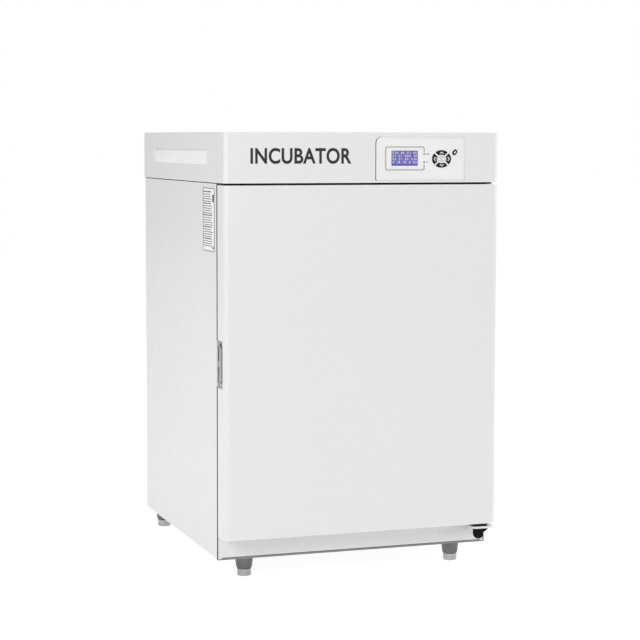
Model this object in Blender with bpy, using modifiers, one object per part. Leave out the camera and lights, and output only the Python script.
"""Laboratory incubator: a floor-standing heated cabinet with a control housing, an outer door and a glass door.

Metres, +Z up. The origin is on the floor under the middle of the cabinet, and the front faces -Y.
"""

import math

import bmesh
import bpy
from mathutils import Matrix, Vector

# Overall size
WIDTH = 0.614
DEPTH = 0.690
HEIGHT = 0.945
FOOT_HEIGHT = 0.045

# Build standards
SHEET = 0.0015
CLEARANCE = 0.0003
RETURN_WIDTH = 0.010
PANEL_BEND = 0.0022

# Levels and planes that everything else is measured from
HALF_WIDTH = WIDTH / 2
DOOR_FRONT = -DEPTH / 2
DOOR_THICKNESS = 0.053
DOOR_BACK = DOOR_FRONT + DOOR_THICKNESS
SEAL_GAP = 0.007
BODY_FRONT = DOOR_BACK + SEAL_GAP
BODY_BACK = 0.340
BODY_HALF_WIDTH = HALF_WIDTH - 0.0008
BODY_LOW = FOOT_HEIGHT
BODY_TOP = 0.836
PLINTH_TOP = 0.0925
DOOR_LOW = 0.095
DOOR_TOP = 0.8335

# Control housing
HEAD_LOW = 0.838
HEAD_FRONT = DOOR_FRONT + 0.0005
HEAD_BACK = DEPTH / 2
HEAD_CORNER_RADIUS = 0.010
HEAD_EDGE_RADIUS = 0.003
GRIP_FRONT, GRIP_BACK = -0.2125, 0.245
GRIP_LOW, GRIP_TOP = 0.8747, 0.9074
GRIP_DEPTH = 0.009
REAR_VENTS = 9
VENT_PITCH = 0.040
VENT_SIZE = (0.028, 0.004)
VENT_LOW = 0.880

# Control fascia, on the right of the housing's front
FASCIA_LEFT, FASCIA_RIGHT = 0.0235, 0.2290
FASCIA_LOW, FASCIA_TOP = 0.8425, 0.9345
FASCIA_CORNER = 0.012
FASCIA_GROOVE = 0.0024
FASCIA_FRONT = HEAD_FRONT + 0.0011
FASCIA_THICKNESS = 0.003
PANEL_RISE = 0.0006
PANEL_FRONT = FASCIA_FRONT - PANEL_RISE
PANEL_MARGINS = (0.0135, 0.0125)
DISPLAY_CENTRE = (0.0898, 0.8895)
DISPLAY_SIZE = (0.0596, 0.0316)
DISPLAY_CORNER = 0.0012
BEZEL_CENTRE = (0.0905, 0.8890)
BEZEL_SIZE = (0.0890, 0.0500)
BEZEL_LINE = 0.0016
LAMP_X = 0.1342
LAMP_HEIGHTS = {"lamp_run": 0.8985, "lamp_heat": 0.8810}
LAMP_RADIUS = 0.0016
LAMP_BREAK = (0.8765, 0.9030)
KEYS_CENTRE = (0.1742, 0.8880)
KEYS_OUTER = (0.0215, 0.0182)
KEYS_INNER = (0.0120, 0.0093)
KEYS_OUTER_MARGIN, KEYS_INNER_MARGIN = 0.105, 0.200
KEY_PLAY = 0.0004
SET_KEY = (0.0100, 0.0048)
KEY_LENGTH = 0.0075
KEY_RISE = 0.0009
POWER_KEY_CENTRE = (0.2047, 0.9020)
POWER_KEY_SIZE = (0.0125, 0.0085)
POWER_KEY_CORNER = 0.0038
POWER_KEY_TILT = math.radians(50)

# Electronics in the housing
BOARD_FRONT = HEAD_FRONT + 0.0105
BOARD_THICKNESS = 0.0016
MODULE_FRONT = -0.3398
SWITCH_HALF = 0.003
SUPPLY_LOW, SUPPLY_TOP = HEAD_LOW + 0.0025, HEAD_LOW + 0.046
FIN_PITCH = 0.015
FINS = 9

# Chamber
CHAMBER_HALF = 0.250
CHAMBER_LOW, CHAMBER_TOP = 0.135, 0.785
CHAMBER_FRONT = BODY_FRONT + SHEET + CLEARANCE
CHAMBER_BACK = 0.215
CHAMBER_CORNER = 0.012
LINER_SHEET = 0.0012
LINER_ROOM = LINER_SHEET + 0.0006
DUCT_PLANE = 0.180
FAN_PLANE = 0.187
FAN_HEIGHT = 0.460
FAN_RADIUS = 0.055
FAN_BLADES = 8
HEATER_RADIUS = 0.078
HEATER_TUBE = 0.004
HEATER_PLANE = 0.198
SENSOR_PLACE = (0.150, 0.700)
RACK_LOW, RACK_TOP = 0.250, 0.650
RACK_WIDTH = 0.016
SHELF_HEIGHTS = {"shelf_lower": 0.330, "shelf_upper": 0.560}
SHELF_HALF = 0.232
SHELF_FRONT, SHELF_BACK = -0.205, 0.160
SHELF_LIP = 0.010
SHELF_SLOTS = 13
SHELF_SLOT = (0.018, 0.140)

# Mains entry, on the rear panel
INLET_LEFT, INLET_RIGHT = 0.157, 0.223
INLET_LOW, INLET_TOP = 0.107, 0.143
SWITCH_LEFT, SWITCH_RIGHT = 0.162, 0.180

# Outer door, its hinges and its latch
DOOR_CORNER_RADIUS = 0.012
DOOR_EDGE_RADIUS = 0.003
HINGE_X, HINGE_Y = 0.285, -0.330
PIN_RADIUS = 0.005
PIN_PLAY = 0.0004
BUSH_RADIUS = 0.0085
BUSH_LENGTH = 0.020
BUSH_LOW, BUSH_HIGH = 0.0968, 0.8115
HINGE_PLATE_LEFT, HINGE_PLATE_RIGHT = 0.257, 0.3055
HINGE_PLATE_LOW, HINGE_PLATE_TOP = 0.0834, 0.0879
BOSS_X = 0.2722
BOSS_RADIUS = 0.0118
BOSS_LOW, BOSS_TOP = 0.0595, 0.0831
LATCH_LOW, LATCH_TOP = 0.4125, 0.5085
LATCH_FRONT = DOOR_FRONT + 0.018
LATCH_DEPTH = 0.028
LEVER_AXIS = (-0.2855, -0.316)
GASKET_OUTER = 0.272
GASKET_WIDTH = 0.016

# Inner glass door
GLASS_HALF = 0.244
GLASS_LOW, GLASS_TOP = 0.145, 0.775
GLASS_FRONT, GLASS_BACK = -0.279, -0.274
GLASS_AXIS = (0.240, -0.2765)
GLASS_SEAL_INSET, GLASS_SEAL_WIDTH = 0.004, 0.007
GLASS_SEAL_BACK = GLASS_BACK + 0.0037
MOUTH_INSET = 0.010

# Feet
FOOT_TOP_RADIUS, FOOT_COLLAR_RADIUS, FOOT_PAD_RADIUS = 0.0203, 0.0166, 0.0151
FOOT_COLLAR_LOW = 0.0165
FOOT_PLACES = {
    "foot_front_left": (-0.238, -0.252),
    "foot_front_right": (0.238, -0.252),
    "foot_rear_left": (-0.270, 0.312),
    "foot_rear_right": (0.270, 0.312),
}

# Finishes: colour, roughness, metallic
FINISHES = {
    "white_paint": ((0.80, 0.80, 0.78), 0.40, 0.0),
    "fascia_plastic": ((0.84, 0.84, 0.83), 0.45, 0.0),
    "grey_plastic": ((0.45, 0.45, 0.46), 0.45, 0.0),
    "black_plastic": ((0.02, 0.02, 0.022), 0.40, 0.0),
    "stainless": ((0.62, 0.62, 0.63), 0.28, 1.0),
    "zinc_steel": ((0.55, 0.55, 0.56), 0.35, 1.0),
    "rubber": ((0.62, 0.62, 0.60), 0.70, 0.0),
    "insulation": ((0.75, 0.70, 0.50), 0.95, 0.0),
    "display": ((0.30, 0.28, 0.75), 0.15, 0.0),
    "glass": ((0.80, 0.90, 0.88), 0.05, 0.0),
    "board": ((0.02, 0.20, 0.09), 0.50, 0.0),
    "lamp": ((0.10, 0.10, 0.10), 0.20, 0.0),
    "label": ((0.90, 0.90, 0.90), 0.50, 0.0),
    "foot_metal": ((0.50, 0.50, 0.52), 0.40, 0.8),
}


# --- Scene ---------------------------------------------------------------------------------------

for old in list(bpy.data.objects):
    bpy.data.objects.remove(old, do_unlink=True)


def new_collection(name):
    collection = bpy.data.collections.new(name)
    bpy.context.scene.collection.children.link(collection)
    return collection


PARTS = new_collection("laboratory_incubator")
CUTTERS = new_collection("cutters")


def give_material(obj, finish):
    """A Principled material of the object's own, in one of the finishes."""
    colour, roughness, metallic = FINISHES[finish]
    material = bpy.data.materials.new(obj.name + "_" + finish)
    material.use_nodes = True
    shader = material.node_tree.nodes["Principled BSDF"]
    shader.inputs["Base Color"].default_value = (*colour, 1.0)
    shader.inputs["Roughness"].default_value = roughness
    shader.inputs["Metallic"].default_value = metallic
    obj.data.materials.append(material)


def add(name, data, location, finish):
    """Links an object: a part where it has a finish, and a cutter or a piece to join where it has none."""
    obj = bpy.data.objects.new(name, data)
    obj.location = location
    if finish:
        PARTS.objects.link(obj)
        give_material(obj, finish)
    else:
        CUTTERS.objects.link(obj)
        obj.hide_render = True
        obj.display_type = "WIRE"
    return obj


def mesh_from(bm, name):
    mesh = bpy.data.meshes.new(name)
    bm.to_mesh(mesh)
    bm.free()
    return mesh


def hang_on(parent, objects):
    """Parents objects that are already placed, and leaves them where they are."""
    for obj in objects:
        obj.parent = parent
        obj.matrix_parent_inverse = Matrix.Translation(-parent.location)


def empty_at(name, location):
    obj = bpy.data.objects.new(name, None)
    obj.location = location
    PARTS.objects.link(obj)
    return obj


# --- Shapes --------------------------------------------------------------------------------------


def cube_in(bm, low, high):
    low, high = Vector(low), Vector(high)
    place = Matrix.Translation((low + high) / 2) @ Matrix.Diagonal((*(high - low), 1.0))
    return bmesh.ops.create_cube(bm, size=1.0, matrix=place)["verts"]


def box(name, low, high, finish=None):
    """A box between two corners."""
    middle = (Vector(low) + Vector(high)) / 2
    bm = bmesh.new()
    cube_in(bm, Vector(low) - middle, Vector(high) - middle)
    return add(name, mesh_from(bm, name), middle, finish)


def rod(name, start, end, radius, sides=16, finish=None):
    """A round bar from one point to another."""
    start, end = Vector(start), Vector(end)
    along = end - start
    bm = bmesh.new()
    bmesh.ops.create_cone(
        bm, cap_ends=True, segments=sides, radius1=radius, radius2=radius, depth=along.length
    )
    bm.transform(along.to_track_quat("Z", "Y").to_matrix().to_4x4())
    obj = add(name, mesh_from(bm, name), (start + end) / 2, finish)
    obj.data.shade_smooth()
    obj.data.set_sharp_from_angle(angle=math.radians(40))
    return obj


def round_edges(bm, picks, radius, segments):
    edges = [edge for edge in bm.edges if picks(edge)]
    bmesh.ops.bevel(
        bm, geom=edges, offset=radius, segments=segments, profile=0.5, affect="EDGES", clamp_overlap=True
    )


def runs_along(edge, axis):
    along = edge.verts[1].co - edge.verts[0].co
    return abs(along.normalized()[axis]) > 0.999


def middle_of(edge):
    return (edge.verts[0].co + edge.verts[1].co) / 2


def shell(name, low, high, open_sides, thickness, finish, rounding=(), outward=False):
    """A sheet box without the named sides, such as +Y. rounding holds (edge test, radius, segments)."""
    middle = (Vector(low) + Vector(high)) / 2
    bm = bmesh.new()
    cube_in(bm, Vector(low) - middle, Vector(high) - middle)
    for picks, radius, segments in rounding:
        round_edges(bm, picks, radius, segments)
    bm.normal_update()
    for side in open_sides:
        normal = Vector([0.0, 0.0, 0.0])
        normal["XYZ".index(side[1])] = 1.0 if side[0] == "+" else -1.0
        faces = [face for face in bm.faces if face.normal.dot(normal) > 0.999]
        bmesh.ops.delete(bm, geom=faces, context="FACES")
    mesh = bpy.data.meshes.new(name)
    bm.to_mesh(mesh)
    bm.free()
    obj = add(name, mesh, middle, finish)
    solid = obj.modifiers.new("sheet", "SOLIDIFY")
    solid.thickness = thickness
    solid.offset = 1.0 if outward else -1.0
    solid.use_even_offset = True
    return obj


def rounded_rectangle(centre, size, radii, steps=4):
    """Corner points, anticlockwise from the lower left. radii run in the same order, or are one number."""
    if not isinstance(radii, (tuple, list)):
        radii = (radii,) * 4
    half = (size[0] / 2, size[1] / 2)
    points = []
    for corner, radius in enumerate(radii):
        sign_x = 1 if corner in (1, 2) else -1
        sign_y = 1 if corner in (2, 3) else -1
        middle_x = centre[0] + sign_x * (half[0] - radius)
        middle_y = centre[1] + sign_y * (half[1] - radius)
        start = math.pi + corner * math.pi / 2
        for step in range(steps + 1):
            angle = start + step * math.pi / 2 / steps
            points.append((middle_x + radius * math.cos(angle), middle_y + radius * math.sin(angle)))
    return points


def ellipse(centre, radii, count):
    turns = [2 * math.pi * step / count for step in range(count)]
    return [(centre[0] + radii[0] * math.cos(t), centre[1] + radii[1] * math.sin(t)) for t in turns]


def outline(name, loops, near, far, finish=None, plane="XZ"):
    """A flat outline with its holes, solid from near to far across its plane."""
    curve = bpy.data.curves.new(name + "_outline", "CURVE")
    curve.dimensions = "2D"
    curve.fill_mode = "BOTH"
    curve.extrude = abs(far - near) / 2
    for loop in loops:
        spline = curve.splines.new("POLY")
        spline.points.add(len(loop) - 1)
        for point, (across, up) in zip(spline.points, loop):
            point.co = (across, up, 0.0, 1.0)
        spline.use_cyclic_u = True
    guide = bpy.data.objects.new(name + "_guide", curve)
    CUTTERS.objects.link(guide)
    across_plane = (near + far) / 2
    if plane == "XZ":
        guide.location = (0.0, across_plane, 0.0)
        guide.rotation_euler = (math.pi / 2, 0.0, 0.0)
    elif plane == "YZ":
        guide.location = (across_plane, 0.0, 0.0)
        guide.rotation_euler = (math.pi / 2, 0.0, math.pi / 2)
    else:
        guide.location = (0.0, 0.0, across_plane)
    return solid_from(guide, name, finish)


def solid_from(guide, name, finish):
    """A curve made a mesh with its caps welded, in the curve's place. The curve is removed."""
    bpy.context.view_layer.update()
    graph = bpy.context.evaluated_depsgraph_get()
    mesh = bpy.data.meshes.new_from_object(guide.evaluated_get(graph))
    mesh.name = name
    mesh.materials.clear()
    bm = bmesh.new()
    bm.from_mesh(mesh)
    bmesh.ops.remove_doubles(bm, verts=bm.verts, dist=1e-6)
    bmesh.ops.recalc_face_normals(bm, faces=bm.faces)
    bm.to_mesh(mesh)
    bm.free()
    place = guide.matrix_world.copy()
    curve = guide.data
    bpy.data.objects.remove(guide, do_unlink=True)
    bpy.data.curves.remove(curve)
    obj = add(name, mesh, (0.0, 0.0, 0.0), finish)
    obj.matrix_world = place
    return obj


def tube(name, points, radius, finish=None):
    """A bent round bar along the points."""
    curve = bpy.data.curves.new(name + "_path", "CURVE")
    curve.dimensions = "3D"
    curve.bevel_depth = radius
    curve.bevel_resolution = 2
    curve.use_fill_caps = True
    spline = curve.splines.new("POLY")
    spline.points.add(len(points) - 1)
    for point, place in zip(spline.points, points):
        point.co = (*place, 1.0)
    guide = bpy.data.objects.new(name + "_guide", curve)
    CUTTERS.objects.link(guide)
    return solid_from(guide, name, finish)


def turned(name, profile, location, steps, finish=None, axis="Z"):
    """A turned shape from (radius, height) points, top to bottom. Its top points along the axis."""
    mesh = bpy.data.meshes.new(name)
    points = [(radius, 0.0, height) for radius, height in profile]
    mesh.from_pydata(points, [(i, i + 1) for i in range(len(points) - 1)], [])
    obj = add(name, mesh, location, finish)
    screw = obj.modifiers.new("turn", "SCREW")
    screw.steps = steps
    screw.render_steps = steps
    screw.use_merge_vertices = True
    screw.merge_threshold = 1e-6
    screw.use_smooth_shade = True
    obj.rotation_euler.x = {"Z": 0.0, "-Y": math.pi / 2, "+Y": -math.pi / 2}[axis]
    return obj


def arc(centre, radius, start, end, steps):
    """Points on a circle between two angles in degrees."""
    angles = [math.radians(start + (end - start) * step / steps) for step in range(steps + 1)]
    return [(centre[0] + radius * math.cos(a), centre[1] + radius * math.sin(a)) for a in angles]


def combine(obj, operation, others):
    for other in others:
        modifier = obj.modifiers.new(operation.lower() + "_" + other.name, "BOOLEAN")
        modifier.operation = operation
        modifier.object = other
        modifier.solver = "EXACT"


def cut(obj, *others):
    combine(obj, "DIFFERENCE", others)


def join(obj, *others):
    combine(obj, "UNION", others)


# --- Cabinet -------------------------------------------------------------------------------------


def cabinet_shell():
    for name, side in (("side_panel_left", -1), ("side_panel_right", 1)):
        left, right = span(side * BODY_HALF_WIDTH, side * (BODY_HALF_WIDTH - RETURN_WIDTH))
        shell(
            name,
            (left, BODY_FRONT, BODY_LOW),
            (right, BODY_BACK, BODY_TOP),
            ["+X" if side < 0 else "-X"],
            SHEET,
            "white_paint",
            [(lambda e: runs_along(e, 2) and middle_of(e).x * side > 0, PANEL_BEND, 3)],
        )
    between = BODY_HALF_WIDTH - RETURN_WIDTH - CLEARANCE
    rear = box(
        "rear_panel",
        (-between, BODY_BACK - SHEET, BODY_LOW + CLEARANCE),
        (between, BODY_BACK, BODY_TOP - CLEARANCE),
        "white_paint",
    )
    margin = 0.0005
    inlet_hole = box(
        "inlet_hole",
        (INLET_LEFT - margin, BODY_BACK - 0.01, INLET_LOW - margin),
        (INLET_RIGHT + margin, BODY_BACK + 0.01, INLET_TOP + margin),
    )
    cut(rear, inlet_hole)
    plinth_front = BODY_FRONT + SHEET
    box(
        "plinth_panel",
        (-between, BODY_FRONT, BODY_LOW + 0.0025),
        (between, plinth_front, PLINTH_TOP),
        "white_paint",
    )
    frame_low, frame_top = PLINTH_TOP + CLEARANCE, BODY_TOP - 0.002
    frame_centre = (0.0, (frame_low + frame_top) / 2)
    outline(
        "front_frame",
        [
            rounded_rectangle(frame_centre, (2 * between, frame_top - frame_low), 0.0005, 1),
            rounded_rectangle(chamber_centre(), chamber_size(), CHAMBER_CORNER, 3),
        ],
        BODY_FRONT,
        plinth_front,
        "white_paint",
    )
    pan_half = BODY_HALF_WIDTH - SHEET - CLEARANCE
    shell(
        "base_pan",
        (-pan_half, plinth_front + CLEARANCE, BODY_LOW + SHEET + CLEARANCE),
        (pan_half, BODY_BACK - SHEET - CLEARANCE, BODY_LOW + 0.015),
        ["+Z"],
        SHEET,
        "zinc_steel",
    )
    box(
        "rating_label",
        (-BODY_HALF_WIDTH - 0.0007, -0.269, 0.692),
        (-BODY_HALF_WIDTH - CLEARANCE, -0.179, 0.827),
        "label",
    )


def span(first, second):
    return (min(first, second), max(first, second))


def chamber_centre():
    return (0.0, (CHAMBER_LOW + CHAMBER_TOP) / 2)


def chamber_size(growth=0.0):
    return (2 * (CHAMBER_HALF + growth), CHAMBER_TOP - CHAMBER_LOW + 2 * growth)


def insulation_and_liner():
    jacket = box("insulation_jacket", (-0.3025, -0.2814, 0.049), (0.3025, 0.3360, 0.833), "insulation")
    hollow = box(
        "jacket_hollow",
        (-CHAMBER_HALF - LINER_ROOM, BODY_FRONT - 0.01, CHAMBER_LOW - LINER_ROOM),
        (CHAMBER_HALF + LINER_ROOM, CHAMBER_BACK + LINER_ROOM, CHAMBER_TOP + LINER_ROOM),
    )
    pocket_half, pocket_back = 0.045, 0.290
    motor_pocket = box(
        "motor_pocket",
        (-pocket_half, CHAMBER_BACK - 0.01, FAN_HEIGHT - pocket_half),
        (pocket_half, pocket_back, FAN_HEIGHT + pocket_half),
    )
    inlet_room = 0.007
    inlet_pocket = box(
        "inlet_pocket",
        (INLET_LEFT - inlet_room, 0.285, INLET_LOW - inlet_room),
        (INLET_RIGHT + inlet_room, BODY_BACK + 0.01, INLET_TOP + inlet_room),
    )
    cut(jacket, hollow, motor_pocket, inlet_pocket)
    liner = shell(
        "chamber_liner",
        (-CHAMBER_HALF, CHAMBER_FRONT, CHAMBER_LOW),
        (CHAMBER_HALF, CHAMBER_BACK, CHAMBER_TOP),
        ["-Y"],
        LINER_SHEET,
        "stainless",
        [(lambda e: runs_along(e, 1) or middle_of(e).y > 0.01, CHAMBER_CORNER, 3)],
        outward=True,
    )
    shaft_radius = 0.007
    near, far = (0, CHAMBER_BACK - 0.01, FAN_HEIGHT), (0, CHAMBER_BACK + 0.01, FAN_HEIGHT)
    cut(liner, rod("shaft_hole", near, far, shaft_radius, 12))


def shelves():
    for name, side in (("shelf_rack_left", -1), ("shelf_rack_right", 1)):
        upright = span(side * (CHAMBER_HALF - CLEARANCE), side * (CHAMBER_HALF - 0.0025))
        ledge = span(side * (CHAMBER_HALF - CLEARANCE), side * (CHAMBER_HALF - 0.0140))
        rack = box(
            name,
            (upright[0], SHELF_FRONT, RACK_LOW),
            (upright[1], SHELF_FRONT + RACK_WIDTH, RACK_TOP),
            "stainless",
        )
        rear_upright = box(
            name + "_rear",
            (upright[0], SHELF_BACK - RACK_WIDTH, RACK_LOW),
            (upright[1], SHELF_BACK, RACK_TOP),
        )
        ledges = [
            box(
                name + "_ledge_" + str(number),
                (ledge[0], SHELF_FRONT, height - 0.0023),
                (ledge[1], SHELF_BACK, height - CLEARANCE),
            )
            for number, height in enumerate(SHELF_HEIGHTS.values())
        ]
        join(rack, rear_upright, *ledges)
    plate = rounded_rectangle(
        (0.0, (SHELF_FRONT + SHELF_BACK) / 2), (2 * SHELF_HALF, SHELF_BACK - SHELF_FRONT), 0.003, 2
    )
    lip_half = 0.208
    for name, height in SHELF_HEIGHTS.items():
        shelf = outline(name, [plate] + shelf_slots(), height, height + SHEET, "stainless", plane="XY")
        lips = [
            box(
                name + "_lip_" + str(end),
                (-lip_half, low, height - SHELF_LIP),
                (lip_half, low + SHEET, height + SHEET / 2),
            )
            for end, low in enumerate((SHELF_FRONT + 0.0005, SHELF_BACK - 0.0005 - SHEET))
        ]
        join(shelf, *lips)


def shelf_slots():
    """Two rows of long slots, front to back."""
    border = 0.020
    pitch = 2 * (SHELF_HALF - border) / (SHELF_SLOTS - 1)
    middle = (SHELF_FRONT + SHELF_BACK) / 2
    slots = []
    for offset in (-0.086, 0.086):
        for number in range(SHELF_SLOTS):
            centre = (-SHELF_HALF + border + number * pitch, middle + offset)
            slots.append(rounded_rectangle(centre, SHELF_SLOT, 0.006, 1))
    return slots


def duct_slots():
    """The fan's grille in the middle, and a column of outlets on each side."""
    slots = []
    for row in range(7):
        slots.append(rounded_rectangle((0.0, FAN_HEIGHT - 0.042 + row * 0.014), (0.100, 0.007), 0.0025, 1))
    for side in (-1, 1):
        for row in range(9):
            slots.append(rounded_rectangle((side * 0.205, 0.220 + row * 0.060), (0.040, 0.010), 0.0035, 1))
    return slots


def air_system():
    sensor_hole = ellipse(SENSOR_PLACE, (0.0040, 0.0040), 8)
    outline(
        "air_duct_cover",
        [rounded_rectangle(chamber_centre(), chamber_size(-0.005), 0.006, 2)] + duct_slots() + [sensor_hole],
        DUCT_PLANE,
        DUCT_PLANE + SHEET,
        "stainless",
    )
    body_radius, body_length, spigot = 0.038, 0.060, 0.012
    turned(
        "fan_motor",
        [
            (0, body_length),
            (body_radius - 0.004, body_length),
            (body_radius, body_length - 0.006),
            (body_radius, 0.006),
            (body_radius - 0.004, 0.0),
            (spigot, 0.0),
            (spigot, -0.002),
            (0, -0.002),
        ],
        (0.0, CHAMBER_BACK + LINER_SHEET + 0.0035, FAN_HEIGHT),
        20,
        "zinc_steel",
        axis="+Y",
    )
    fan_impeller()
    turns = [math.radians(-75 + 15 * step) for step in range(23)]
    loop = [
        (HEATER_RADIUS * math.cos(turn), HEATER_PLANE, FAN_HEIGHT + HEATER_RADIUS * math.sin(turn))
        for turn in turns
    ]
    ends = [(x, HEATER_PLANE + 0.011, z - 0.002) for x, _, z in (loop[0], loop[-1])]
    tube("heater_element", [ends[0]] + loop + [ends[1]], HEATER_TUBE, "stainless")
    stem, collar = 0.0025, 0.006
    turned(
        "temperature_sensor",
        [(0, 0.050), (0.0015, 0.050), (stem, 0.048), (stem, 0.005), (collar, 0.005), (collar, 0.0), (0, 0.0)],
        (SENSOR_PLACE[0], DUCT_PLANE - CLEARANCE, SENSOR_PLACE[1]),
        12,
        "stainless",
        axis="-Y",
    )


def fan_impeller():
    """A radial fan: a hub and shaft, a back plate, and straight blades in front of the plate."""
    hub, shaft, plate_low, plate_top = 0.010, 0.004, 0.018, 0.0195
    centre = Vector((0.0, FAN_PLANE, FAN_HEIGHT))
    fan = turned(
        "fan_impeller",
        [
            (0, 0.030),
            (shaft, 0.030),
            (shaft, plate_top),
            (FAN_RADIUS, plate_top),
            (FAN_RADIUS, plate_low),
            (hub, plate_low),
            (hub, 0.0),
            (0, 0.0),
        ],
        centre,
        24,
        "zinc_steel",
        axis="+Y",
    )
    blades = []
    for number in range(FAN_BLADES):
        blade = box("blade_" + str(number), (0.008, -0.0006, 0.002), (FAN_RADIUS - 0.001, 0.0006, 0.0185))
        reach = Matrix.Translation(blade.location)
        around = Matrix.Rotation(2 * math.pi * number / FAN_BLADES, 4, "Z")
        lying = Matrix.Rotation(-math.pi / 2, 4, "X")
        blade.matrix_world = Matrix.Translation(centre) @ lying @ around @ reach
        blades.append(blade)
    join(fan, *blades)


# --- Control housing -----------------------------------------------------------------------------


def control_housing():
    housing = head_block("control_housing", 0.0, HEAD_LOW, HEIGHT, "white_paint")
    hollow = head_block("housing_hollow", SHEET, HEAD_LOW - 0.01, HEIGHT - SHEET, None)
    cut(housing, hollow)
    for side in (-1, 1):
        walls, recess = grip(side)
        join(housing, walls)
        cut(housing, recess)
    window = outline("fascia_window", [fascia_outline(0.0, 0.0)], HEAD_FRONT - 0.005, HEAD_FRONT + 0.005)
    cut(housing, window)
    for number in range(REAR_VENTS):
        centre = (number - (REAR_VENTS - 1) / 2) * VENT_PITCH
        vent = box(
            "rear_vent_" + str(number),
            (centre - VENT_SIZE[0] / 2, HEAD_BACK - 0.005, VENT_LOW),
            (centre + VENT_SIZE[0] / 2, HEAD_BACK + 0.005, VENT_LOW + VENT_SIZE[1]),
        )
        cut(housing, vent)
    deck_low, deck_top = HEAD_LOW + CLEARANCE, HEAD_LOW + 0.0018
    half, front = HALF_WIDTH - 0.0025, HEAD_FRONT + HEAD_CORNER_RADIUS + 0.0005
    deck = box("control_deck", (-half, front, deck_low), (half, HEAD_BACK - 0.002, deck_top), "zinc_steel")
    strip_half = HALF_WIDTH - HEAD_CORNER_RADIUS - 0.002
    strip = box(
        "deck_front", (-strip_half, HEAD_FRONT + 0.002, deck_low), (strip_half, front + 0.01, deck_top)
    )
    join(deck, strip)


def head_block(name, inset, low, top, finish):
    """The housing's block with round front corners, or the hollow inside it."""
    bm = bmesh.new()
    cube_in(
        bm, (-HALF_WIDTH + inset, HEAD_FRONT + inset, low), (HALF_WIDTH - inset, HEAD_BACK - inset, top)
    )
    round_edges(bm, lambda e: runs_along(e, 2) and middle_of(e).y < 0, HEAD_CORNER_RADIUS - inset, 8)
    if not inset:
        round_edges(bm, lambda e: middle_of(e).z > HEIGHT - 1e-6, HEAD_EDGE_RADIUS, 3)
    return add(name, mesh_from(bm, name), (0, 0, 0), finish)


def grip(side):
    """One side's hand grip: the walls that reach into the housing, and the recess cut through them."""
    label = "left" if side < 0 else "right"
    outer_skin = HALF_WIDTH - 0.0008
    depth = HALF_WIDTH - GRIP_DEPTH
    pocket = [
        (side * outer_skin, GRIP_LOW - SHEET),
        (side * outer_skin, GRIP_TOP + SHEET),
        (side * (depth - SHEET), GRIP_TOP + SHEET),
        (side * (depth - SHEET), GRIP_TOP - 0.003),
        (side * (HALF_WIDTH - 0.002), GRIP_LOW - SHEET),
    ]
    recess = [
        (side * (HALF_WIDTH + 0.001), GRIP_LOW),
        (side * (HALF_WIDTH + 0.001), GRIP_TOP),
        (side * depth, GRIP_TOP),
        (side * depth, GRIP_TOP - 0.0025),
        (side * (HALF_WIDTH - 0.0005), GRIP_LOW),
    ]
    return (
        outline("grip_walls_" + label, [pocket], GRIP_FRONT - SHEET, GRIP_BACK + SHEET),
        outline("grip_recess_" + label, [recess], GRIP_FRONT, GRIP_BACK),
    )


def fascia_outline(inset, left_inset):
    """The fascia's outline, or with no insets the pocket that it sits in."""
    left, right = FASCIA_LEFT + left_inset, FASCIA_RIGHT - inset
    low, top = FASCIA_LOW + inset, FASCIA_TOP - inset
    centre = ((left + right) / 2, (low + top) / 2)
    return rounded_rectangle(centre, (right - left, top - low), (0.003, 0.003, 0.004, FASCIA_CORNER), 6)


def power_key_outline(growth):
    size = (POWER_KEY_SIZE[0] + 2 * growth, POWER_KEY_SIZE[1] + 2 * growth)
    flat = rounded_rectangle((0.0, 0.0), size, POWER_KEY_CORNER + growth, 4)
    cosine, sine = math.cos(POWER_KEY_TILT), math.sin(POWER_KEY_TILT)
    return [
        (POWER_KEY_CENTRE[0] + cosine * x - sine * y, POWER_KEY_CENTRE[1] + sine * x + cosine * y)
        for x, y in flat
    ]


def on_keys(reach, turn):
    """A point round the middle of the keys, at an angle on an ellipse."""
    return (KEYS_CENTRE[0] + reach[0] * math.cos(turn), KEYS_CENTRE[1] + reach[1] * math.sin(turn))


def arrow_outline(direction, growth=0.0):
    """One quarter of the ring of arrow keys. direction is 0 right, 1 up, 2 left, 3 down."""
    middle = direction * math.pi / 2
    edges = []
    for radii, margin, sign in ((KEYS_OUTER, KEYS_OUTER_MARGIN, 1), (KEYS_INNER, KEYS_INNER_MARGIN, -1)):
        reach = (radii[0] + sign * growth, radii[1] + sign * growth)
        sweep = math.pi / 2 - 2 * (margin - growth / reach[0])
        turns = [middle + (step / 8 - 0.5) * sweep for step in range(9)]
        edges.append([on_keys(reach, turn) for turn in turns])
    outer, inner = edges
    return outer + inner[::-1]


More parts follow.
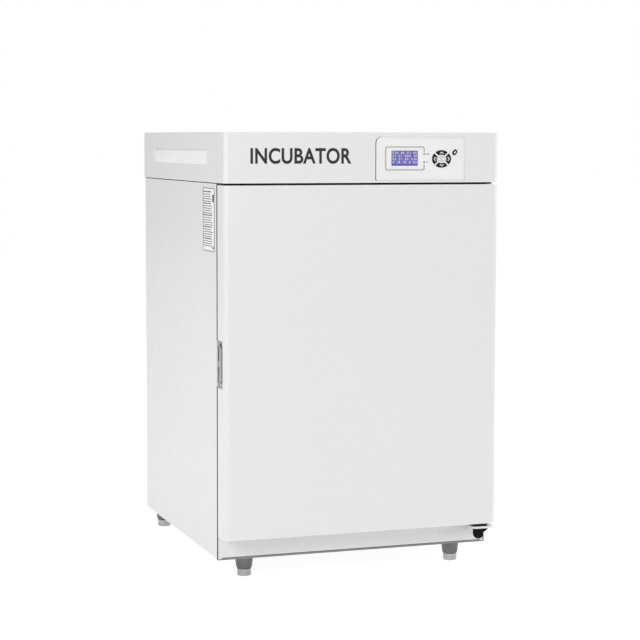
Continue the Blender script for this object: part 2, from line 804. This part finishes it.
def fascia():
    display_hole = (DISPLAY_SIZE[0] + 2 * CLEARANCE, DISPLAY_SIZE[1] + 2 * CLEARANCE)
    holes = [
        rounded_rectangle(DISPLAY_CENTRE, display_hole, DISPLAY_CORNER + CLEARANCE, 3),
        ellipse(KEYS_CENTRE, (SET_KEY[0] + KEY_PLAY, SET_KEY[1] + KEY_PLAY), 24),
        power_key_outline(KEY_PLAY),
    ]
    holes += [arrow_outline(direction, KEY_PLAY) for direction in range(4)]
    lamp_hole = (LAMP_RADIUS + CLEARANCE, LAMP_RADIUS + CLEARANCE)
    holes += [ellipse((LAMP_X, height), lamp_hole, 10) for height in LAMP_HEIGHTS.values()]
    plate = outline(
        "control_fascia",
        [fascia_outline(CLEARANCE, FASCIA_GROOVE)] + holes,
        FASCIA_FRONT,
        FASCIA_FRONT + FASCIA_THICKNESS,
        "fascia_plastic",
    )
    centre = ((FASCIA_LEFT + FASCIA_RIGHT) / 2 + 0.0030, (FASCIA_LOW + FASCIA_TOP) / 2)
    size = (FASCIA_RIGHT - FASCIA_LEFT - PANEL_MARGINS[0], FASCIA_TOP - FASCIA_LOW - PANEL_MARGINS[1])
    inner = rounded_rectangle(centre, size, (0.002, 0.002, 0.002, 0.008), 4)
    raised = outline("fascia_panel", [inner] + holes, PANEL_FRONT, FASCIA_FRONT + 0.001)
    join(plate, raised)
    inside = (BEZEL_SIZE[0] - 2 * BEZEL_LINE, BEZEL_SIZE[1] - 2 * BEZEL_LINE)
    bezel = outline(
        "bezel_frame",
        [
            rounded_rectangle(BEZEL_CENTRE, BEZEL_SIZE, 0.004, 4),
            rounded_rectangle(BEZEL_CENTRE, inside, 0.003, 4),
        ],
        PANEL_FRONT - 0.0007,
        PANEL_FRONT - CLEARANCE,
        "grey_plastic",
    )
    lamp_gap = box(
        "lamp_gap",
        (LAMP_X - 0.005, PANEL_FRONT - 0.01, LAMP_BREAK[0]),
        (LAMP_X + 0.005, PANEL_FRONT + 0.01, LAMP_BREAK[1]),
    )
    cut(bezel, lamp_gap)
    outline(
        "lcd_window",
        [rounded_rectangle(DISPLAY_CENTRE, DISPLAY_SIZE, DISPLAY_CORNER, 3)],
        PANEL_FRONT + 0.0003,
        PANEL_FRONT + 0.0023,
        "display",
    )
    lamp_front, lamp_back = PANEL_FRONT - 0.0004, PANEL_FRONT + 0.006
    for name, height in LAMP_HEIGHTS.items():
        rod(name, (LAMP_X, lamp_front, height), (LAMP_X, lamp_back, height), LAMP_RADIUS, 10, "lamp")


def keys():
    front, back = PANEL_FRONT - KEY_RISE, PANEL_FRONT - KEY_RISE + KEY_LENGTH
    for direction, name in enumerate(("key_right", "key_up", "key_left", "key_down")):
        outline(name, [arrow_outline(direction)], front, back, "black_plastic")
    outline("key_set", [ellipse(KEYS_CENTRE, SET_KEY, 24)], front, back, "fascia_plastic")
    outline("key_power", [power_key_outline(0.0)], front, back, "black_plastic")


def electronics():
    sunk = BOARD_FRONT + 0.0008
    back = BOARD_FRONT + BOARD_THICKNESS
    board = box("control_board", (0.040, BOARD_FRONT, 0.8475), (0.222, back, 0.9295), "board")
    module = box("display_module", (0.056, MODULE_FRONT, 0.866), (0.124, sunk, 0.912))
    connector = box("board_connector", (0.070, sunk, 0.853), (0.150, -0.322, 0.861))
    relay = box("board_relay", (0.160, sunk, 0.880), (0.180, -0.318, 0.905))
    switches = []
    places = [arrow_centre(direction) for direction in range(4)] + [KEYS_CENTRE, POWER_KEY_CENTRE]
    for number, (x, z) in enumerate(places):
        switch = box(
            "switch_" + str(number),
            (x - SWITCH_HALF, BOARD_FRONT - 0.0015, z - SWITCH_HALF),
            (x + SWITCH_HALF, sunk, z + SWITCH_HALF),
        )
        switches.append(switch)
    join(board, module, connector, relay, *switches)
    supply = box("power_supply", (-0.210, 0.060, SUPPLY_LOW), (-0.060, 0.170, SUPPLY_TOP), "zinc_steel")
    grooves = [
        box(
            "groove_" + str(number),
            (-0.200 + number * FIN_PITCH, 0.05, SUPPLY_TOP - 0.012),
            (-0.192 + number * FIN_PITCH, 0.18, SUPPLY_TOP + 0.004),
        )
        for number in range(FINS)
    ]
    cut(supply, *grooves)


def arrow_centre(direction):
    reach = ((KEYS_OUTER[0] + KEYS_INNER[0]) / 2, (KEYS_OUTER[1] + KEYS_INNER[1]) / 2)
    return on_keys(reach, direction * math.pi / 2)


def mains_entry():
    """The socket and the rocker switch in one moulding on the rear panel."""
    rim, wall = BODY_BACK + CLEARANCE, BODY_BACK + 0.0025
    flange = box("mains_inlet", (0.150, rim, 0.103), (0.230, wall, 0.147), "black_plastic")
    block = box("inlet_block", (INLET_LEFT, 0.310, INLET_LOW), (INLET_RIGHT, rim + 0.0007, INLET_TOP))
    join(flange, block)
    floor, beyond = 0.322, BODY_BACK + 0.005
    socket = box("inlet_socket", (0.192, floor, 0.1165), (0.216, beyond, 0.1335))
    bay = box("switch_bay", (SWITCH_LEFT, floor, 0.112), (SWITCH_RIGHT, beyond, 0.138))
    cut(flange, socket, bay)
    pins = [
        box("inlet_pin_" + str(number), (x - 0.001, floor - 0.002, z - 0.002), (x + 0.001, 0.337, z + 0.002))
        for number, (x, z) in enumerate(((0.197, 0.123), (0.204, 0.128), (0.211, 0.123)))
    ]
    join(flange, *pins)
    profile = [
        (0.3240, 0.1215),
        (0.3240, 0.1285),
        (0.3400, 0.1360),
        (wall, 0.1355),
        (0.3405, 0.1250),
        (wall, 0.1145),
        (0.3400, 0.1140),
    ]
    outline(
        "mains_switch", [profile], SWITCH_LEFT + 0.0015, SWITCH_RIGHT - 0.0015, "black_plastic", plane="YZ"
    )


# --- Outer door ----------------------------------------------------------------------------------


def outer_door():
    skin = shell(
        "door_skin",
        (-HALF_WIDTH, DOOR_FRONT, DOOR_LOW),
        (HALF_WIDTH, DOOR_BACK, DOOR_TOP),
        ["+Y"],
        SHEET,
        "white_paint",
        [
            (lambda e: runs_along(e, 2) and middle_of(e).y < 0, DOOR_CORNER_RADIUS, 6),
            (
                lambda e: middle_of(e).y < -DOOR_THICKNESS / 2 + 1e-6 and not runs_along(e, 2),
                DOOR_EDGE_RADIUS,
                3,
            ),
        ],
    )
    cut(skin, latch_notch("skin_notch", 0.0018), *hinge_bores("skin_hole", DOOR_LOW, DOOR_TOP, 0.01, 0.0065))
    foam = door_foam()
    inner = box(
        "door_liner",
        (-0.3052, DOOR_BACK - 0.0018, DOOR_LOW + 0.0018),
        (0.3052, DOOR_BACK, DOOR_TOP - 0.0018),
        "white_paint",
    )
    cut(inner, latch_notch("liner_notch", 0.0018))
    outer = chamber_size(GASKET_OUTER - CHAMBER_HALF)
    inside = chamber_size(GASKET_OUTER - CHAMBER_HALF - GASKET_WIDTH)
    gasket = outline(
        "door_gasket",
        [
            rounded_rectangle(chamber_centre(), outer, 0.012, 3),
            rounded_rectangle(chamber_centre(), inside, 0.006, 2),
        ],
        DOOR_BACK + CLEARANCE,
        BODY_FRONT - CLEARANCE,
        "rubber",
    )
    bushes = [hinge_bush("hinge_bush_lower", BUSH_LOW), hinge_bush("hinge_bush_upper", BUSH_HIGH)]
    axis = empty_at("outer_door_axis", (HINGE_X, HINGE_Y, DOOR_LOW))
    hang_on(axis, [skin, foam, inner, gasket, latch_cup(), *bushes])
    lever_axis = empty_at("latch_lever_axis", (*LEVER_AXIS, LATCH_LOW))
    hang_on(lever_axis, [latch_lever()])
    hang_on(axis, [lever_axis])


def door_foam():
    """The insulation that fills the door, short of the skin and liner, with room for the hinges and latch."""
    gap = 0.0025
    bm = bmesh.new()
    cube_in(
        bm,
        (-HALF_WIDTH + gap, DOOR_FRONT + gap, DOOR_LOW + gap),
        (HALF_WIDTH - gap, DOOR_BACK - gap, DOOR_TOP - gap),
    )
    round_edges(bm, lambda e: middle_of(e).y < DOOR_FRONT + gap + 1e-6, 0.011, 2)
    foam = add("door_insulation", mesh_from(bm, "door_insulation"), (0, 0, 0), "insulation")
    bores = hinge_bores("foam_bore", DOOR_LOW, DOOR_TOP, BUSH_LENGTH + 0.005, BUSH_RADIUS + 0.001)
    cut(foam, latch_notch("foam_notch", 0.0024), *bores)
    return foam


def hinge_bores(name, low, top, depth, radius):
    """Cutters on the hinge axis, through the two ends of the door to a depth."""
    return [
        rod(name + "_lower", (HINGE_X, HINGE_Y, low - 0.01), (HINGE_X, HINGE_Y, low + depth), radius, 16),
        rod(name + "_upper", (HINGE_X, HINGE_Y, top - depth), (HINGE_X, HINGE_Y, top + 0.01), radius, 16),
    ]


def hinge_bush(name, low):
    bush = rod(
        name, (HINGE_X, HINGE_Y, low), (HINGE_X, HINGE_Y, low + BUSH_LENGTH), BUSH_RADIUS, 16, "grey_plastic"
    )
    near, far = (HINGE_X, HINGE_Y, low - 0.01), (HINGE_X, HINGE_Y, low + BUSH_LENGTH + 0.01)
    cut(bush, rod(name + "_bore", near, far, PIN_RADIUS + 0.0006, 16))
    return bush


def latch_notch(name, growth):
    """The space of the latch recess, grown on every side that has door round it."""
    return box(
        name,
        (-HALF_WIDTH - 0.01, LATCH_FRONT - growth, LATCH_LOW - growth),
        (-HALF_WIDTH + LATCH_DEPTH + growth, DOOR_BACK + 0.01, LATCH_TOP + growth),
    )


def latch_cup():
    return shell(
        "latch_housing",
        (-HALF_WIDTH + 0.0002, LATCH_FRONT, LATCH_LOW),
        (-HALF_WIDTH + LATCH_DEPTH, DOOR_BACK, LATCH_TOP),
        ["-X", "+Y"],
        0.0012,
        "grey_plastic",
        outward=True,
    )


def latch_lever():
    """The pull bar along the door's edge, its webs back to the pivot barrel, and the hook for the striker."""
    x, y = LEVER_AXIS
    play = 0.0004
    bar_left, bar_right = -0.3050, -0.3015
    barrel = rod("latch_lever", (x, y, LATCH_LOW + play), (x, y, LATCH_TOP - play), 0.003, 12, "zinc_steel")
    pull = box("lever_pull", (bar_left, -0.3140, 0.4230), (bar_right, -0.2960, 0.4970))
    webs = [
        box("lever_web_" + str(number), (-0.3040, -0.3175, low), (-0.2845, -0.3000, low + 0.003))
        for number, low in enumerate((0.428, 0.489))
    ]
    hook_low, hook_top = 0.4540, 0.4660
    hook = box("lever_hook", (bar_left, -0.2970, hook_low), (bar_right, -0.2890, hook_top))
    nose = box("lever_nose", (bar_right - 0.0005, -0.2925, hook_low), (-0.2940, -0.2890, hook_top))
    join(barrel, pull, *webs, hook, nose)
    return barrel


def door_hardware():
    """What the outer door hangs and latches on: the pieces fixed to the cabinet."""
    plate_back = BODY_FRONT - CLEARANCE
    striker = box("latch_striker", (-0.2945, -0.2868, 0.4400), (-0.2790, plate_back, 0.4800), "zinc_steel")
    join(striker, box("striker_nose", (-0.2900, -0.2955, 0.4500), (-0.2860, -0.2860, 0.4700)))
    lower = hinge_plate("hinge_bracket_lower", HINGE_PLATE_RIGHT, plate_back, (0.010, 0.006))
    join(lower, box("bracket_leg", (0.2640, plate_back - 0.003, 0.0700), (0.3053, plate_back, 0.0850)))
    hinge_plate("hinge_bracket_upper", 0.2958, -0.250, (0.008, 0.008))
    hinge_pins()


def hinge_plate(name, right, back, corners):
    """A flat plate with the pin's hole in it. corners are the radii of its two front corners."""
    levels = {"hinge_bracket_lower": (HINGE_PLATE_LOW, HINGE_PLATE_TOP), "hinge_bracket_upper": (0.8346, 0.8374)}
    finish = {"hinge_bracket_lower": "white_paint", "hinge_bracket_upper": "zinc_steel"}
    front = -0.341
    centre = ((HINGE_PLATE_LEFT + right) / 2, (front + back) / 2)
    size = (right - HINGE_PLATE_LEFT, back - front)
    loops = [
        rounded_rectangle(centre, size, (*corners, 0.0005, 0.0005), 4),
        ellipse((HINGE_X, HINGE_Y), (PIN_RADIUS + PIN_PLAY,) * 2, 16),
    ]
    return outline(name, loops, *levels[name], finish[name], plane="XY")


def hinge_pins():
    """The lower pin with the black boss that carries it under the plate, and the upper pin."""
    boss_profile = [(0, BOSS_TOP), (BOSS_RADIUS, BOSS_TOP)]
    boss_profile += arc((0.0, BOSS_LOW + BOSS_RADIUS), BOSS_RADIUS, 0, -90, 8)[:-1]
    boss_profile.append((0, BOSS_LOW))
    boss = turned("hinge_pin_lower", boss_profile, (BOSS_X, HINGE_Y, 0.0), 28, "black_plastic")
    pin_top = BUSH_LOW + BUSH_LENGTH - 0.0018
    pin = rod("lower_pin", (HINGE_X, HINGE_Y, BOSS_TOP - 0.005), (HINGE_X, HINGE_Y, pin_top), PIN_RADIUS, 16)
    ear = [
        (BOSS_X, BOSS_TOP - 0.0090),
        (BOSS_X + 0.0100, BOSS_TOP - 0.0090),
        (HINGE_X + 0.0065, BOSS_TOP - 0.0030),
        (HINGE_X + 0.0065, BOSS_TOP - 0.0001),
        (BOSS_X, BOSS_TOP - 0.0001),
    ]
    join(boss, outline("boss_ear", [ear], HINGE_Y - 0.007, HINGE_Y + 0.007), pin)
    low, top, chamfer = 0.8120, 0.8372, 0.001
    turned(
        "hinge_pin_upper",
        [(0, top), (PIN_RADIUS, top), (PIN_RADIUS, low + chamfer), (PIN_RADIUS - chamfer, low), (0, low)],
        (HINGE_X, HINGE_Y, 0.0),
        16,
        "zinc_steel",
    )


# --- Glass door ----------------------------------------------------------------------------------


def glass_door():
    centre = (0.0, (GLASS_LOW + GLASS_TOP) / 2)

    def glass_outline(inset, radius, steps):
        size = (2 * (GLASS_HALF - inset), GLASS_TOP - GLASS_LOW - 2 * inset)
        return rounded_rectangle(centre, size, radius, steps)

    pane = outline("glass_pane", [glass_outline(0.0, 0.006, 3)], GLASS_FRONT, GLASS_BACK, "glass")
    seal_loops = [
        glass_outline(GLASS_SEAL_INSET, 0.006, 3),
        glass_outline(GLASS_SEAL_INSET + GLASS_SEAL_WIDTH, 0.003, 2),
    ]
    seal = outline("glass_seal", seal_loops, GLASS_BACK + CLEARANCE, GLASS_SEAL_BACK, "rubber")
    outline(
        "inner_door_frame",
        [
            rounded_rectangle(chamber_centre(), chamber_size(-0.0004), CHAMBER_CORNER + 0.0006, 3),
            glass_outline(MOUTH_INSET, 0.004, 2),
        ],
        GLASS_SEAL_BACK + CLEARANCE,
        GLASS_BACK + 0.0120,
        "stainless",
    )
    knob = turned(
        "glass_knob",
        [(0, 0.009), (0.010, 0.009), (0.012, 0.0075), (0.012, 0.005), (0.006, 0.004), (0.006, 0.0), (0, 0.0)],
        (-0.218, GLASS_FRONT - CLEARANCE, 0.460),
        20,
        "grey_plastic",
        axis="-Y",
    )
    moving = [pane, seal, knob]
    for label, edge, up in (("lower", GLASS_LOW, -1), ("upper", GLASS_TOP, 1)):
        moving.append(glass_hinge(label, edge, up))
        glass_pivot(label, edge, up)
    axis = empty_at("glass_door_axis", (*GLASS_AXIS, GLASS_LOW))
    hang_on(axis, moving)


def glass_hinge(label, edge, up):
    """The shoe on the pane's corner: a cap with the pivot hole, and a cheek on the pane's face."""
    left, front = 0.222, -0.2815
    low, high = span(edge + up * CLEARANCE, edge + up * 0.0040)
    shoe = box("glass_hinge_" + label, (left, front, low), (0.2445, -0.2738, high), "stainless")
    low, high = span(edge - up * 0.020, edge + up * 0.0035)
    join(shoe, box("cheek_" + label, (left, front, low), (0.2444, GLASS_FRONT - CLEARANCE, high)))
    low, high = span(edge + up * 0.0001, edge + up * 0.0085)
    cut(shoe, rod("pivot_hole_" + label, (*GLASS_AXIS, low), (*GLASS_AXIS, high), 0.0025, 12))
    return shoe


def glass_pivot(label, edge, up):
    """The bracket on the inner door frame, with the pin that the shoe turns on."""
    low, high = span(edge + up * 0.0045, edge + up * 0.0065)
    tab = box("glass_pivot_" + label, (0.2320, -0.2810, low), (0.2455, GLASS_SEAL_BACK, high), "stainless")
    low, high = span(edge + up * 0.0008, edge + up * 0.0055)
    join(tab, rod("pivot_pin_" + label, (*GLASS_AXIS, low), (*GLASS_AXIS, high), 0.0020, 12))


# --- Feet ----------------------------------------------------------------------------------------


def feet():
    top = BODY_LOW + SHEET
    profile = [
        (0, top),
        (FOOT_TOP_RADIUS, top),
        (FOOT_TOP_RADIUS, top - 0.003),
        (FOOT_COLLAR_RADIUS, FOOT_COLLAR_LOW + 0.0015),
        (FOOT_COLLAR_RADIUS, FOOT_COLLAR_LOW),
        (FOOT_PAD_RADIUS, FOOT_COLLAR_LOW - 0.0007),
        (FOOT_PAD_RADIUS, 0.0020),
        (FOOT_PAD_RADIUS - 0.0010, 0.0),
        (0, 0.0),
    ]
    for name, (x, y) in FOOT_PLACES.items():
        turned(name, profile, (x, y, 0.0), 24, "foot_metal")


cabinet_shell()
insulation_and_liner()
shelves()
air_system()
control_housing()
fascia()
keys()
electronics()
mains_entry()
outer_door()
door_hardware()
glass_door()
feet()
